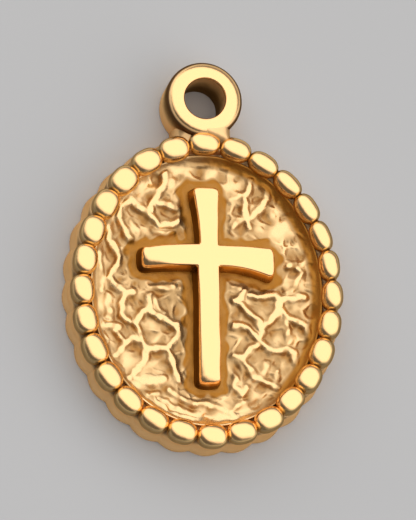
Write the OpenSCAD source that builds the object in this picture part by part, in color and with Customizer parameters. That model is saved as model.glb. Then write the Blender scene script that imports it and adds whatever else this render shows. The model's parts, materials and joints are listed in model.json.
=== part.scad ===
// Oval medal charm with a raised cross, a crackled ground, a beaded border and a hanging ring.
// It is one casting, so the modules below are fused into the single node "charm".
// The charm lies on its back: z = 0 is the flat back, and +Y points to the hanging ring.
// The origin is the centre of the oval, on the back.

/* [Medal] */
// Width of the oval that runs through the bead centres
oval_w = 11.3; // [10.5:0.1:12.5]
// Height of the oval that runs through the bead centres
oval_h = 13.2; // [12.6:0.1:14.4]
// Thickness from the back to the tops of the beads
thickness = 2.2; // [2.1:0.05:2.6]
// Height of the ridges of the crackled ground above the back
ground_z = 1.35; // [1.25:0.05:1.5]
// Height of the floors of the pits, and of the groove round the cross
floor_z = 1.1; // [0.8:0.05:1.15]

/* [Beads] */
// Number of beads round the border
bead_count = 28; // [24:1:32]
// Bead diameter as a share of the spacing
bead_fill = 0.91; // [0.85:0.01:0.97]
// How much wider than average the beads are spaced at the top, and closer at the bottom
bead_spread = 0.03; // [0:0.01:0.06]
// Radius of a bead's dome as a share of the bead's own radius
dome_share = 1.2; // [1.1:0.05:1.6]
// Width of the solid rim under the beads
rim_w = 0.9; // [0.7:0.05:1]
// Height of that rim, which shows between the beads
rim_z = 1.65; // [1.55:0.05:1.8]

/* [Cross] */
// Distance of the crossing point above the oval's centre
cross_y = 1.42; // [1.3:0.01:1.5]
// Length of the upper arm from the crossing point
cross_up = 3.2; // [3:0.01:3.3]
// Length of each side arm from the crossing point
cross_side = 3.02; // [2.8:0.01:3.2]
// Length of the lower arm from the crossing point
cross_down = 5.77; // [5.5:0.01:5.85]
// Width of the arms at the crossing point
cross_waist = 0.94; // [0.8:0.02:1]
// Width of the upper and side arms at their tips
cross_tip = 1.2; // [1.1:0.02:1.4]
// Width of the lower arm at its tip
cross_foot = 1.0; // [0.96:0.02:1.3]
// Height of the cross's top above the back
cross_z = 1.95; // [1.85:0.05:2.2]
// Width of the bevel round the cross's top
cross_bevel = 0.1; // [0.05:0.01:0.15]
// Width of the smooth groove round the cross
groove_w = 0.56; // [0.4:0.02:0.6]

/* [Hanging ring] */
// Distance of the ring's centre above the oval's centre
ring_y = 8.66; // [8.6:0.01:8.8]
// Outer diameter of the ring
ring_od = 3.5; // [3:0.02:3.6]
// Diameter of the hole for the jump ring
hole_d = 1.86; // [1.5:0.02:2]
// Width of the bevel that stands for the ring's rounded outer edges
ring_bevel = 0.22; // [0.05:0.01:0.25]
// Width of the neck where it leaves the rim
neck_w = 2.6; // [2:0.05:2.8]
// Height of the neck that joins the ring to the rim
neck_z = 1.85; // [1.4:0.05:1.95]

/* [Crackled ground] */
// Average distance between two pits
pit_pitch = 0.92; // [0.85:0.01:1.2]
// How far a pit's centre strays from an even pattern, as a share of the pitch
pit_stray = 0.24; // [0:0.01:0.26]
// Width of the ridges between the pits, at their tops
ridge_w = 0.17; // [0.12:0.01:0.25]
// Size of a pit's floor as a share of its mouth
pit_taper = 0.6; // [0.5:0.02:0.8]

/* [Hidden] */
gold = "#d8a348";
oval_a = oval_w / 2;
oval_b = oval_h / 2;
overlap = 0.2;    // how far fused shapes reach into each other
proud = 0.05;     // how far a cutting shape stands out of what it cuts
lip_w = 0.12;     // width of the flat lip along the groove and the beads
arm_steps = 4;    // stretches along each side of an arm
rim_sides = 112;  // sides of the rim's outline
field_sides = 40; // sides of the outline that bounds the pits
pit_rows = 7;     // rows of pits above and below the middle
near = 2.6;       // neighbours of a pit lie within this many pitches
$fn = 64;

// Point of the oval grown by g, at angle t clockwise from the top
function oval_at(t, g = 0) = [(oval_a + g) * sin(t), (oval_b + g) * cos(t)];
function oval_outline(g, sides) = [for (i = [0 : sides - 1]) oval_at(i * 360 / sides, g)];

// Table of [length along the oval from its top, angle], one row for each degree
function degree_length(t) = norm(oval_at(t + 1) - oval_at(t));
ARC = [for (t = 0, s = 0; t <= 360; s = s + degree_length(t), t = t + 1) [s, t]];
oval_length = ARC[360][0];

// Share of the way round at which bead k stands, then its place and its radius
function bead_share(k) = k / bead_count + bead_spread * sin(360 * k / bead_count) / (2 * PI);
function bead_place(k) = oval_at(lookup(bead_share(k) * oval_length, ARC));
function bead_radius(k) = bead_fill * (bead_share(k + 0.5) - bead_share(k - 0.5)) * oval_length / 2;

// Outline of an arm that points along +Y, grown by g. Its sides flare out towards the tip.
function arm_half(share, tip) = (cross_waist + (tip - cross_waist) * share * share) / 2;
function arm_side(side, length, tip, g) = [
    for (i = [0 : arm_steps])
        let (share = i / arm_steps, root = cross_waist / 2)
        [side * (arm_half(share, tip) + g), (root + g) + (length - root) * share]
];
function reversed(list) = [for (i = [len(list) - 1 : -1 : 0]) list[i]];
function arm(length, tip, g) =
    concat(arm_side(-1, length, tip, g), reversed(arm_side(1, length, tip, g)));

// The arms clockwise from the top. Columns: length, width at the tip.
ARMS = [[cross_up, cross_tip], [cross_side, cross_tip], [cross_down, cross_foot], [cross_side, cross_tip]];
function turned(p, a) = [p.x * cos(a) + p.y * sin(a), p.y * cos(a) - p.x * sin(a)];
function cross_outline(g) = [
    for (i = [0 : 3])
        let (outline = arm(ARMS[i][0], ARMS[i][1], g))
        for (j = [0 : len(outline) - 2]) turned(outline[j], 90 * i) + [0, cross_y]
];

// Boxes that hold the upright and the crossbar with their groove and lip.
// Columns: middle x, middle y, half width, half height.
clear_half = cross_tip / 2 + groove_w + lip_w;
BARS = [
    [0, cross_y + (cross_up - cross_down) / 2, clear_half, (cross_up + cross_down) / 2 + groove_w + lip_w],
    [0, cross_y, cross_side + groove_w + lip_w, clear_half],
];

// The part of a convex outline with p * n <= d
function cut(outline, n, d) = [
    for (i = [0 : len(outline) - 1])
        let (
            p = outline[i],
            q = outline[(i + 1) % len(outline)],
            p_out = p * n - d,
            q_out = q * n - d
        )
        each concat(
            p_out <= 0 ? [p] : [],
            p_out * q_out < 0 ? [p + (q - p) * p_out / (p_out - q_out)] : []
        )
];

// Pit centres: an even pattern of triangles, each point strayed by two waves
function pit_place(i, j) =
    let (even = pit_pitch * [i + (j % 2 == 0 ? 0 : 0.5), j * sqrt(3) / 2])
    even + pit_stray * pit_pitch * [sin(137 * i + 211 * j), cos(173 * i - 101 * j)];

// How far p lies outside a bar's box, along x and along y
function beyond(p, bar) = [abs(p.x - bar[0]) - bar[2], abs(p.y - bar[1]) - bar[3]];
function clear_of(p, bar) = max(beyond(p, bar)) > ridge_w;

field_inset = bead_radius(0) + lip_w;
FIELD = oval_outline(-field_inset, field_sides);
function in_field(p, g) = norm([p.x / (oval_a + g), p.y / (oval_b + g)]) < 1;
PITS = [
    for (j = [-pit_rows : pit_rows])
        for (i = [-pit_rows : pit_rows])
            let (p = pit_place(i, j))
            if (in_field(p, -field_inset - ridge_w) && clear_of(p, BARS[0]) && clear_of(p, BARS[1])) p
];

// The outline cut back from the side of a bar's box that lies nearest to pit centre p
function cut_by_bar(outline, p, bar) =
    let (
        out = beyond(p, bar),
        n = out.x > out.y ? [-sign(p.x - bar[0]), 0] : [0, -sign(p.y - bar[1])],
        half = out.x > out.y ? bar[2] : bar[3]
    )
    cut(outline, n, n * [bar[0], bar[1]] - half);

// The outline less what lies nearer to pits j and on than to pit centre p, and less half a ridge
function cut_by_pits(outline, p, j = 0) =
    j == len(PITS) ? outline
    : let (way = PITS[j] - p, gap = norm(way))
      gap == 0 || gap > near * pit_pitch ? cut_by_pits(outline, p, j + 1)
      : cut_by_pits(cut(outline, way / gap, (PITS[j] + p) * way / gap / 2 - ridge_w / 2), p, j + 1);

function pit_mouth(p) = cut_by_bar(cut_by_bar(cut_by_pits(FIELD, p), p, BARS[0]), p, BARS[1]);

// The faces that cap an outline, as point numbers. A convex outline is capped by one face. The
// cross is capped by a face for each stretch of an arm and one in the middle.
function whole_cap(n) = [[for (i = [0 : n - 1]) i]];
arm_points = 2 * arm_steps + 1;
cross_points = 4 * arm_points;
CROSS_CAP = concat(
    [[for (i = [0 : 3]) i * arm_points]],
    [
        for (i = [0 : 3])
            for (k = [0 : arm_steps - 1])
                let (left = i * arm_points + k, right = (i + 1) * arm_points - k)
                [left, left + 1, right - 1, right % cross_points]
    ]
);

// A closed solid through outlines of the same number of points, clockwise from above.
// Columns of rings, from the lowest up: outline, height.
module stacked(rings, cap) {
    n = len(rings[0][0]);
    last = len(rings) - 1;
    points = [for (ring = rings) for (p = ring[0]) [p.x, p.y, ring[1]]];
    sides = [
        for (k = [0 : last - 1])
            for (i = [0 : n - 1])
                let (j = (i + 1) % n)
                [k * n + i, k * n + j, (k + 1) * n + j, (k + 1) * n + i]
    ];
    lower_cap = [for (face = cap) reversed(face)];
    upper_cap = [for (face = cap) [for (i = face) last * n + i]];
    polyhedron(points, concat(lower_cap, sides, upper_cap));
}

module pit(p) {
    mouth = pit_mouth(p);
    bottom = [for (q = mouth) p + (q - p) * pit_taper];
    stacked([[bottom, floor_z], [mouth, ground_z + proud]], whole_cap(len(mouth)));
}

module medal() {
    difference() {
        linear_extrude(rim_z) polygon(oval_outline(rim_w / 2, rim_sides));
        translate([0, 0, ground_z])
            linear_extrude(thickness) polygon(oval_outline(-rim_w / 2, rim_sides));
        translate([0, 0, floor_z])
            linear_extrude(thickness) polygon(cross_outline(groove_w));
        for (p = PITS) pit(p);
    }
}

module cross() {
    rings = [
        [cross_outline(0), floor_z - overlap],
        [cross_outline(0), cross_z - cross_bevel],
        [cross_outline(-cross_bevel), cross_z],
    ];
    stacked(rings, CROSS_CAP);
}

// A bead is the domed top of a peg that runs down to the back, which scallops the side wall
module bead(k) {
    r = bead_radius(k);
    dome_r = r * dome_share;
    dome_z = thickness - dome_r;
    translate(bead_place(k))
        intersection() {
            cylinder(r = r, h = thickness + proud);
            union() {
                translate([0, 0, dome_z]) sphere(r = dome_r);
                translate([-2 * r, -2 * r, 0]) cube([4 * r, 4 * r, dome_z]);
            }
        }
}

module hanging_ring() {
    bore_r = hole_d / 2;
    outer_r = ring_od / 2;
    translate([0, ring_y, 0])
        rotate_extrude()
            polygon([
                [bore_r, 0],
                [outer_r - ring_bevel, 0],
                [outer_r, ring_bevel],
                [outer_r, thickness - ring_bevel],
                [outer_r - ring_bevel, thickness],
                [bore_r, thickness],
            ]);
}

module neck() {
    top = ring_y - hole_d / 2 - overlap;
    linear_extrude(neck_z)
        polygon([
            [-neck_w / 2, oval_b - rim_w / 2],
            [neck_w / 2, oval_b - rim_w / 2],
            [neck_w / 2 - overlap, top],
            [overlap - neck_w / 2, top],
        ]);
}

module charm() {
    color(gold) {
        medal();
        cross();
        for (k = [0 : bead_count - 1]) bead(k);
        neck();
        hanging_ring();
    }
}

charm();
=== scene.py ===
# %% [markdown]
# # A gold-plated cross charm
# The real charm is one small casting, plated with gold and laid on its back. Its front has a
# cross on crackled ground, a border of beads and a hanging ring. Each of these forms is made
# below as its own closed surface, worked out in millimetres with numpy arrays. All of them share
# one gold: bright where the buffing wheel reaches, brown at the foot of each wall with stain and
# painted shade, and satin on the crackled ground.

# %% Load the imported frame
import json
import math

import bmesh
import bpy
import numpy as np
from mathutils import Matrix, Vector


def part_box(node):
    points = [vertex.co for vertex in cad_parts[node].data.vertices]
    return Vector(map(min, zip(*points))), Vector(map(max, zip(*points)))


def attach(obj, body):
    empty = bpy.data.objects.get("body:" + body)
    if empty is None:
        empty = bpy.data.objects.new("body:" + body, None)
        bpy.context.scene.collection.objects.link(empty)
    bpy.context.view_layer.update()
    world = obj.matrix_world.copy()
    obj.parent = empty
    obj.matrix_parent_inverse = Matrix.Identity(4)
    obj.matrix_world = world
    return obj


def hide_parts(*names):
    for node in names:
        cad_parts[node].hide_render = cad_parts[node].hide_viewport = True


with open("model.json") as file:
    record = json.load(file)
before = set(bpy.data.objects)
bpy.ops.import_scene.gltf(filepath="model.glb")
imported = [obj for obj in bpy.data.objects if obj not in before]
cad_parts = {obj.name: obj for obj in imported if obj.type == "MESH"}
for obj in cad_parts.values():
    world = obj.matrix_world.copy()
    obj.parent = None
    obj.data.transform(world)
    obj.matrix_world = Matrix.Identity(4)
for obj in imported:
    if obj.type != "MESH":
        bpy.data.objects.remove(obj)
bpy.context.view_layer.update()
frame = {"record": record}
MM = 0.001

# %% [markdown]
# ## Sizes
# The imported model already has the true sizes, so the scene takes them from it: the box gives
# the oval and the thickness, and the hole's mount gives the ring's place. What is left are the
# sizes that only the looks need. X runs to the right, Y to the ring and Z out of the front.

# %% Take the main sizes from the frame
BEAD_REACH = 0.62  # from a bead's centre to its outer side
low, high = (np.array(corner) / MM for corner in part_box("charm"))
hang_hole = next(mount for mount in frame["record"]["mounts"] if mount["name"] == "hang_hole")

top_z = high[2]
oval_a = high[0] - BEAD_REACH
oval_b = -low[1] - BEAD_REACH
ring_y = hang_hole["pos_m"][1] / MM
ring_r = high[1] - ring_y
hole_r = hang_hole["dims"]["r_mm"]
print(f"oval {oval_a:.2f} x {oval_b:.2f} mm from its middle, thickness {top_z:.2f} mm")
print(f"ring {ring_r:.2f} mm in radius, its hole {hole_r:.2f} mm, {ring_y:.2f} mm above the middle")

# %% [markdown]
# ## Helpers for surfaces
# Every piece but the ground is a grid of points: rows run along a section, columns run round the
# piece. The grid closes on itself round the piece, and the two ends of its section meet in a
# point, along a line or in each other. Points that fall on each other are merged, so each piece
# is watertight.

# %% Ramps and waves
def blend(start, end, share):
    """Straight from start, where share is 0, to end, where it is 1."""
    return start + (end - start) * share


def ramp(x, start, end, full=1.0):
    """An S curve: 0 up to x = start, `full` from x = end, and full (3t^2 - 2t^3) between, where t
    is the share of the way from start to end. With start above end it is 0 above and full below."""
    t = np.clip((x - start) / (end - start), 0, 1)
    return full * t * t * (3 - 2 * t)


WAVE_LENGTHS = (0.7, 1.4)  # the range of each wave's length, as shares of `length`
WAVE_PEAK = 1.5  # how many standard deviations of the sum count as 1


def waves(x, y, length, seed, count=14):
    """Smooth unevenness between about -1 and 1: the sum of flat sine waves of random direction,
    length and phase, divided by its standard deviation, sqrt(count / 2), and by the peak."""
    draw = np.random.default_rng(seed)
    total = np.zeros_like(x)
    for _ in range(count):
        way = draw.uniform(0, 2 * np.pi)
        pitch = length * draw.uniform(*WAVE_LENGTHS)
        phase = draw.uniform(0, 2 * np.pi)
        total += np.sin(2 * np.pi * (x * np.cos(way) + y * np.sin(way)) / pitch + phase)
    return total * np.sqrt(2 / count) / WAVE_PEAK


SHIFT_WAVES = ((1.9, 11), (1.9, 12), (1.3, 13))  # for x, y and z: length and seed


def uneven(points, amount=0.012):
    """Casting and buffing leave no true line: every point moves by slow waves of its own place."""
    x, y = points[:, 0], points[:, 1]
    shift = np.stack([waves(x, y, length, seed) for length, seed in SHIFT_WAVES], -1)
    return points + amount * shift


# %% Grids and sections
def grid_faces(grid):
    """The four corners of each cell of a grid of points that closes round its columns."""
    rows, columns = grid.shape[:2]
    row, column = np.meshgrid(np.arange(rows - 1), np.arange(columns), indexing="ij")
    here = row * columns + column
    beside = row * columns + (column + 1) % columns
    return np.stack([here, beside, beside + columns, here + columns], -1).reshape(-1, 4)


def curve_through(start, corner, end, count):
    """`count` points of the parabola that leaves start towards corner and arrives at end."""
    t = np.linspace(0, 1, count)[:, None]
    return (1 - t) ** 2 * np.array(start) + 2 * t * (1 - t) * np.array(corner) + t**2 * np.array(end)


def soft_section(corners, count=7):
    """A section line whose inner corners are rounded. Columns of corners: across, height, and
    how far from the corner its rounding starts."""
    corners = np.array(corners, float)
    parts = [corners[:1, :2]]
    for before, corner, after in zip(corners, corners[1:], corners[2:]):
        to_before = (before - corner)[:2] / np.hypot(*(before - corner)[:2])
        to_after = (after - corner)[:2] / np.hypot(*(after - corner)[:2])
        start = corner[:2] + to_before * corner[2]
        end = corner[:2] + to_after * corner[2]
        parts.append(curve_through(start, corner[:2], end, count) if corner[2] else corner[None, :2])
    return np.concatenate(parts + [corners[-1:, :2]])


# %% Turn a grid into a piece
MERGE_WITHIN = 0.0001 * MM


def add_piece(name, points, faces, recess, material):
    """Makes a closed, smooth piece at the origin, with its recess stored on its points."""
    mesh = bpy.data.meshes.new(name)
    mesh.from_pydata((points * MM).tolist(), [], faces)
    attribute = mesh.attributes.new("recess", "FLOAT", "POINT")
    attribute.data.foreach_set("value", np.broadcast_to(recess, len(points)).astype(np.float32))
    shape = bmesh.new()
    shape.from_mesh(mesh)
    bmesh.ops.remove_doubles(shape, verts=shape.verts, dist=MERGE_WITHIN)
    bmesh.ops.recalc_face_normals(shape, faces=shape.faces)
    open_edges = sum(not edge.is_manifold for edge in shape.edges)
    shape.to_mesh(mesh)
    shape.free()
    mesh.shade_smooth()
    mesh.materials.append(material)
    piece = bpy.data.objects.new(name, mesh)
    bpy.context.scene.collection.objects.link(piece)
    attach(piece, "root")
    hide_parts("charm")
    print(f"{name}: {len(mesh.polygons)} faces, {open_edges} open edges")
    return piece


# %% [markdown]
# ## The gold
# Gold plate has no colour of its own beside its reflection: the metal multiplies what it
# mirrors by gold. In the hollows the light is mirrored two or three times and turns brown, and
# there the plate is also a little stained, because no buffing wheel gets in. Here both are
# painted into the colour: each material reads the "recess" attribute that the surfaces store,
# 0 on a crest, 1 at the foot of a wall, and paints shade and stain by it. Some sides get less
# of the painted shade because they face the light.
# Ambient occlusion or Pointiness could find the hollows too, but they can't be baked reliably and
# know nothing of the wheel. An attribute is stored on the mesh and says just what is meant.

# %% Node helpers
def link(tree, source, target):
    """Joins one node's output socket to another node's input socket."""
    tree.links.new(source, target)


def add_node(tree, kind, **settings):
    """A node of that kind, with its own settings and, by number or name, its socket values."""
    node = tree.nodes.new(kind)
    for key, value in settings.items():
        if key == "inputs":
            for socket, constant in value.items():
                node.inputs[socket].default_value = constant
        else:
            setattr(node, key, value)
    return node


def new_group(name, inputs, outputs):
    """An empty shader group. Columns of its sockets: name, kind, default value or None."""
    group = bpy.data.node_groups.new(name, "ShaderNodeTree")
    for in_out, sockets in (("INPUT", inputs), ("OUTPUT", outputs)):
        for label, kind, value in sockets:
            socket = group.interface.new_socket(label, in_out=in_out, socket_type=kind)
            if value is not None:
                socket.default_value = value
    return group, group.nodes.new("NodeGroupInput"), group.nodes.new("NodeGroupOutput")


FLOAT, COLOUR, VECTOR = "NodeSocketFloat", "NodeSocketColor", "NodeSocketVector"

# %% A group for the painted shade and stain in the hollows
DARKENING_NOISE = 1600.0  # noise scales are patches per metre, so these are about 0.6 mm wide


def shade_and_stain_gold():
    """Bright gold on the crests that turns to the colour of painted shade and stain as the recess
    deepens. A slow noise shifts the edge of the darkening, so that it doesn't follow the shape too
    neatly."""
    group, given, out = new_group(
        "shade and stain gold",
        [
            ("Bright", COLOUR, (1, 1, 1, 1)),
            ("Shade and stain", COLOUR, (0.5, 0.5, 0.5, 1)),
            ("From", FLOAT, 0.3),
            ("To", FLOAT, 1.0),
            ("Straying", FLOAT, 0.1),
        ],
        [("Color", COLOUR, None), ("Mask", FLOAT, None)],
    )
    place = add_node(group, "ShaderNodeTexCoord")
    noise = add_node(group, "ShaderNodeTexNoise", inputs={"Scale": DARKENING_NOISE, "Detail": 3.0})
    link(group, place.outputs["Object"], noise.inputs["Vector"])
    centred = add_node(group, "ShaderNodeMath", operation="SUBTRACT", inputs={1: 0.5})
    link(group, noise.outputs["Fac"], centred.inputs[0])
    recess = add_node(group, "ShaderNodeAttribute", attribute_name="recess")
    strayed = add_node(group, "ShaderNodeMath", operation="MULTIPLY_ADD")
    link(group, centred.outputs[0], strayed.inputs[0])
    link(group, given.outputs["Straying"], strayed.inputs[1])
    link(group, recess.outputs["Fac"], strayed.inputs[2])
    mask = add_node(group, "ShaderNodeMapRange", interpolation_type="SMOOTHSTEP")
    link(group, strayed.outputs[0], mask.inputs["Value"])
    link(group, given.outputs["From"], mask.inputs["From Min"])
    link(group, given.outputs["To"], mask.inputs["From Max"])
    mix = add_node(group, "ShaderNodeMix", data_type="RGBA")
    link(group, mask.outputs["Result"], mix.inputs["Factor"])
    link(group, given.outputs["Bright"], mix.inputs[6])
    link(group, given.outputs["Shade and stain"], mix.inputs[7])
    link(group, mix.outputs[2], out.inputs["Color"])
    link(group, mask.outputs["Result"], out.inputs["Mask"])
    return group


# %% A group for the skin of a casting
DIMPLE_NOISE, DIMPLE_DEPTH = 1500.0, 0.1 * MM
GRAIN_NOISE, GRAIN_DEPTH = 9000.0, 0.02 * MM
GRAIN_DULLS = 0.6  # how far the grain shifts the Dull mask
MASK_RANGE = {"From Min": 0.2, "From Max": 1.3}  # shifted masks that are Smooth and that are Rough


def cast_skin():
    """Two noises as bumps: slow dimples that buffing leaves, and a fine grain. It puts out the
    bent normal, and a roughness between Smooth and Rough that follows the Dull mask, shifted a
    little by the grain."""
    group, given, out = new_group(
        "cast skin",
        [
            ("Dimples", FLOAT, 0.1),
            ("Grain", FLOAT, 0.1),
            ("Dull", FLOAT, 0.0),
            ("Smooth", FLOAT, 0.15),
            ("Rough", FLOAT, 0.3),
        ],
        [("Normal", VECTOR, None), ("Roughness", FLOAT, None)],
    )
    place = add_node(group, "ShaderNodeTexCoord")
    slow = add_node(group, "ShaderNodeTexNoise", inputs={"Scale": DIMPLE_NOISE, "Detail": 2.0})
    fine = add_node(group, "ShaderNodeTexNoise", inputs={"Scale": GRAIN_NOISE, "Detail": 3.0})
    for noise in (slow, fine):
        link(group, place.outputs["Object"], noise.inputs["Vector"])
    dimple_bump = add_node(group, "ShaderNodeBump", inputs={"Distance": DIMPLE_DEPTH})
    link(group, slow.outputs["Fac"], dimple_bump.inputs["Height"])
    link(group, given.outputs["Dimples"], dimple_bump.inputs["Strength"])
    grain_bump = add_node(group, "ShaderNodeBump", inputs={"Distance": GRAIN_DEPTH})
    link(group, fine.outputs["Fac"], grain_bump.inputs["Height"])
    link(group, given.outputs["Grain"], grain_bump.inputs["Strength"])
    link(group, dimple_bump.outputs["Normal"], grain_bump.inputs["Normal"])
    uneven_dull = add_node(group, "ShaderNodeMath", operation="MULTIPLY_ADD", inputs={1: GRAIN_DULLS})
    link(group, fine.outputs["Fac"], uneven_dull.inputs[0])
    link(group, given.outputs["Dull"], uneven_dull.inputs[2])
    rough = add_node(group, "ShaderNodeMapRange", inputs=MASK_RANGE)
    link(group, uneven_dull.outputs[0], rough.inputs["Value"])
    link(group, given.outputs["Smooth"], rough.inputs["To Min"])
    link(group, given.outputs["Rough"], rough.inputs["To Max"])
    link(group, grain_bump.outputs["Normal"], out.inputs["Normal"])
    link(group, rough.outputs["Result"], out.inputs["Roughness"])
    return group


SHADE_AND_STAIN_GROUP = shade_and_stain_gold()
SKIN_GROUP = cast_skin()


# %% [markdown]
# ## Five finishes
# On the real charm one bath of gold covers everything, and each part was buffed in its own way.
# Five separate node trees would hide what they share. So one function builds every finish from
# the two groups, and only the colours and the depths at which they set in are its own. Each is
# darkened twice with painted shade and stain: first where a hollow starts, and then with a
# darker gold in its depth.

# %% Five finishes from the two groups
BRIGHT_GOLD = (1.0, 0.62, 0.29, 1)  # buffed by the wheel
EDGE_GOLD = (0.97, 0.76, 0.48, 1)  # what all of them mirror at a grazing angle
PALE_GOLD = (0.9, 0.61, 0.305, 1)  # crests of the satin ground
SIDE_GOLD = (1.0, 0.66, 0.32, 1)  # side walls, bright but not smooth
FLANK_GOLD = (0.9, 0.61, 0.26, 1)  # flanks of the beads
DULL_GOLD = (0.53, 0.33, 0.145, 1)  # pits of the satin ground
# The brown of the hollow round the cross and of the deepest pits is stain and painted shade.
MOAT_SHADE_GOLD = (0.40, 0.17, 0.028, 1)  # the hollow round the cross
# The brown at the feet of walls is painted shade with a little stain.
SHADE_BROWN_GOLD = (0.25, 0.15, 0.075, 1)  # feet of walls
# Painted shade inside the ring's hole.
HOLE_SHADE_GOLD = (0.13, 0.065, 0.028, 1)  # inside the ring's hole
# Painted shade at the feet of the cross's sides.
SIDE_SHADE_GOLD = (0.09, 0.055, 0.03, 1)  # feet of the cross's sides


def gold_finish(name, dulling, shading, skin):
    """A metal whose colour is gold darkened twice over with painted shade and stain, the second time
    over the first, and whose surface is the cast skin, rougher where the first darkening lies.
    Each of the three dictionaries gives a group's inputs by name."""
    material = bpy.data.materials.new(name)
    material.use_nodes = True
    tree = material.node_tree
    shader = tree.nodes["Principled BSDF"]
    shader.inputs["Metallic"].default_value = 1.0
    shader.inputs["Specular Tint"].default_value = EDGE_GOLD
    dull = add_node(tree, "ShaderNodeGroup", node_tree=SHADE_AND_STAIN_GROUP, inputs=dulling)
    brown = add_node(tree, "ShaderNodeGroup", node_tree=SHADE_AND_STAIN_GROUP, inputs=shading)
    surface = add_node(tree, "ShaderNodeGroup", node_tree=SKIN_GROUP, inputs=skin)
    link(tree, dull.outputs["Color"], brown.inputs["Bright"])
    link(tree, brown.outputs["Color"], shader.inputs["Base Color"])
    link(tree, dull.outputs["Mask"], surface.inputs["Dull"])
    link(tree, surface.outputs["Normal"], shader.inputs["Normal"])
    link(tree, surface.outputs["Roughness"], shader.inputs["Roughness"])
    return material


BUFFED_SKIN = {"Dimples": 0.12, "Grain": 0.15, "Smooth": 0.12}
BRIGHT_SIDES = {"Bright": BRIGHT_GOLD, "Shade and stain": SIDE_GOLD, "From": 0.2, "To": 0.5, "Straying": 0.2}

# For the body and the neck, the ring, the beads, the cross and the ground.
POLISHED = gold_finish(
    "polished_gold",
    BRIGHT_SIDES,
    {"Shade and stain": SHADE_BROWN_GOLD, "From": 0.6, "To": 1.0, "Straying": 0.15},
    {**BUFFED_SKIN, "Rough": 0.5},
)
RINGED = gold_finish(
    "ringed_gold",
    BRIGHT_SIDES,
    {"Shade and stain": HOLE_SHADE_GOLD, "From": 0.6, "To": 1.0, "Straying": 0.15},
    {**BUFFED_SKIN, "Rough": 0.5},
)
BEADED = gold_finish(
    "beaded_gold",
    {"Bright": BRIGHT_GOLD, "Shade and stain": FLANK_GOLD, "From": 0.2, "To": 0.55, "Straying": 0.15},
    {"Shade and stain": SHADE_BROWN_GOLD, "From": 0.55, "To": 1.0, "Straying": 0.15},
    {**BUFFED_SKIN, "Rough": 0.3},
)
SHADE_SIDED = gold_finish(
    "shade_sided_gold",
    {"Bright": BRIGHT_GOLD, "Shade and stain": SHADE_BROWN_GOLD, "From": 0.1, "To": 0.3, "Straying": 0.05},
    {"Shade and stain": SIDE_SHADE_GOLD, "From": 0.15, "To": 0.4, "Straying": 0.05},
    {**BUFFED_SKIN, "Rough": 0.32},
)
SATIN = gold_finish(
    "satin_gold",
    {"Bright": PALE_GOLD, "Shade and stain": DULL_GOLD, "From": 0.15, "To": 0.6, "Straying": 0.3},
    {"Shade and stain": MOAT_SHADE_GOLD, "From": 0.5, "To": 0.95, "Straying": 0.2},
    {"Dimples": 0.25, "Grain": 0.5, "Smooth": 0.26, "Rough": 0.5},
)
print("finishes:", ", ".join(finish.name for finish in (POLISHED, RINGED, BEADED, SHADE_SIDED, SATIN)))

# %% [markdown]
# ## The oval
# Beads, rim and ground all follow one oval. A plain ellipse would space the beads unevenly if
# they were put at even angles, so a table of the length along it turns shares of the way round
# into places. On the real charm the beads are spaced a little wider at the top.

# %% Places along the oval
BEAD_COUNT = 28
BEAD_SPREAD = 0.03  # how much wider than average the beads stand at the top
TABLE_STEPS = 3600

table_turns = np.linspace(0, 2 * np.pi, TABLE_STEPS + 1)


def oval_at(turn):
    """Point of the ellipse at `turn` clockwise from the top: (a sin(turn), b cos(turn))."""
    return np.stack([oval_a * np.sin(turn), oval_b * np.cos(turn)], -1)


step_lengths = np.linalg.norm(np.diff(oval_at(table_turns), axis=0), axis=1)
table_lengths = np.concatenate([[0], np.cumsum(step_lengths)])
oval_length = table_lengths[-1]
print(f"the oval is {oval_length:.1f} mm round, {oval_length / BEAD_COUNT:.2f} mm for each bead")


def place_at(share):
    """Point, way along and way outwards at that share of the oval's length from the top."""
    turn = np.interp(np.mod(share, 1) * oval_length, table_lengths, table_turns)
    point = oval_at(turn)
    along = np.stack([oval_a * np.cos(turn), -oval_b * np.sin(turn)], -1)
    along /= np.linalg.norm(along, axis=-1, keepdims=True)
    outwards = np.stack([-along[..., 1], along[..., 0]], -1)
    return point, along, outwards


def bead_share(k):
    """Share of the way round at which bead k stands: even steps, stretched near the top."""
    return k / BEAD_COUNT + BEAD_SPREAD * np.sin(2 * np.pi * k / BEAD_COUNT) / (2 * np.pi)


# %% [markdown]
# ## The medal's body
# Under everything lies the plate: a flat back, a side wall and a rim that the beads sit on. It
# could be an extruded oval with bevels, but a section carried round the oval gives soft cast
# edges at once. The section runs from the middle of the back, round the rim, to the middle of
# the seat that the ground lies on.

# %% Carry the body's section round the oval
RIM_IN = 0.46  # from the middle of the border to the rim's inner wall
RIM_TOP_Z = 1.5
RIM_SIDE_Z = 1.25
WALL_OUT = 0.52  # from the middle of the border to the side wall
FOOT_OUT = 0.66  # the same to the foot, which flares
SEAT_Z = 0.85
SCALLOP = 0.17  # how deep the side wall is scalloped between two beads
MIDDLE_IN = 3.0  # where the section ends, before it is drawn to the oval's middle
BODY_COLUMNS = 16 * BEAD_COUNT

# Columns: across, height, where the rounding of the corner starts.
BODY_SECTION = soft_section(
    [
        (-MIDDLE_IN, 0, 0),
        (FOOT_OUT, 0, 0.1),
        (FOOT_OUT, 0.2, 0.12),
        (WALL_OUT, 0.65, 0.12),
        (WALL_OUT - 0.03, RIM_SIDE_Z, 0.1),
        (0, RIM_TOP_Z, 0.3),
        (-RIM_IN, RIM_SIDE_Z, 0.1),
        (-RIM_IN - 0.1, SEAT_Z, 0),
        (-MIDDLE_IN, SEAT_Z, 0),
    ]
)


def valley(count):
    """0 below the middle of a bead and 1 between two of them: 1 - |cos(pi count)|, which is sharp
    in the valleys and round on the lobes."""
    return 1 - np.abs(np.cos(np.pi * count))


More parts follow.
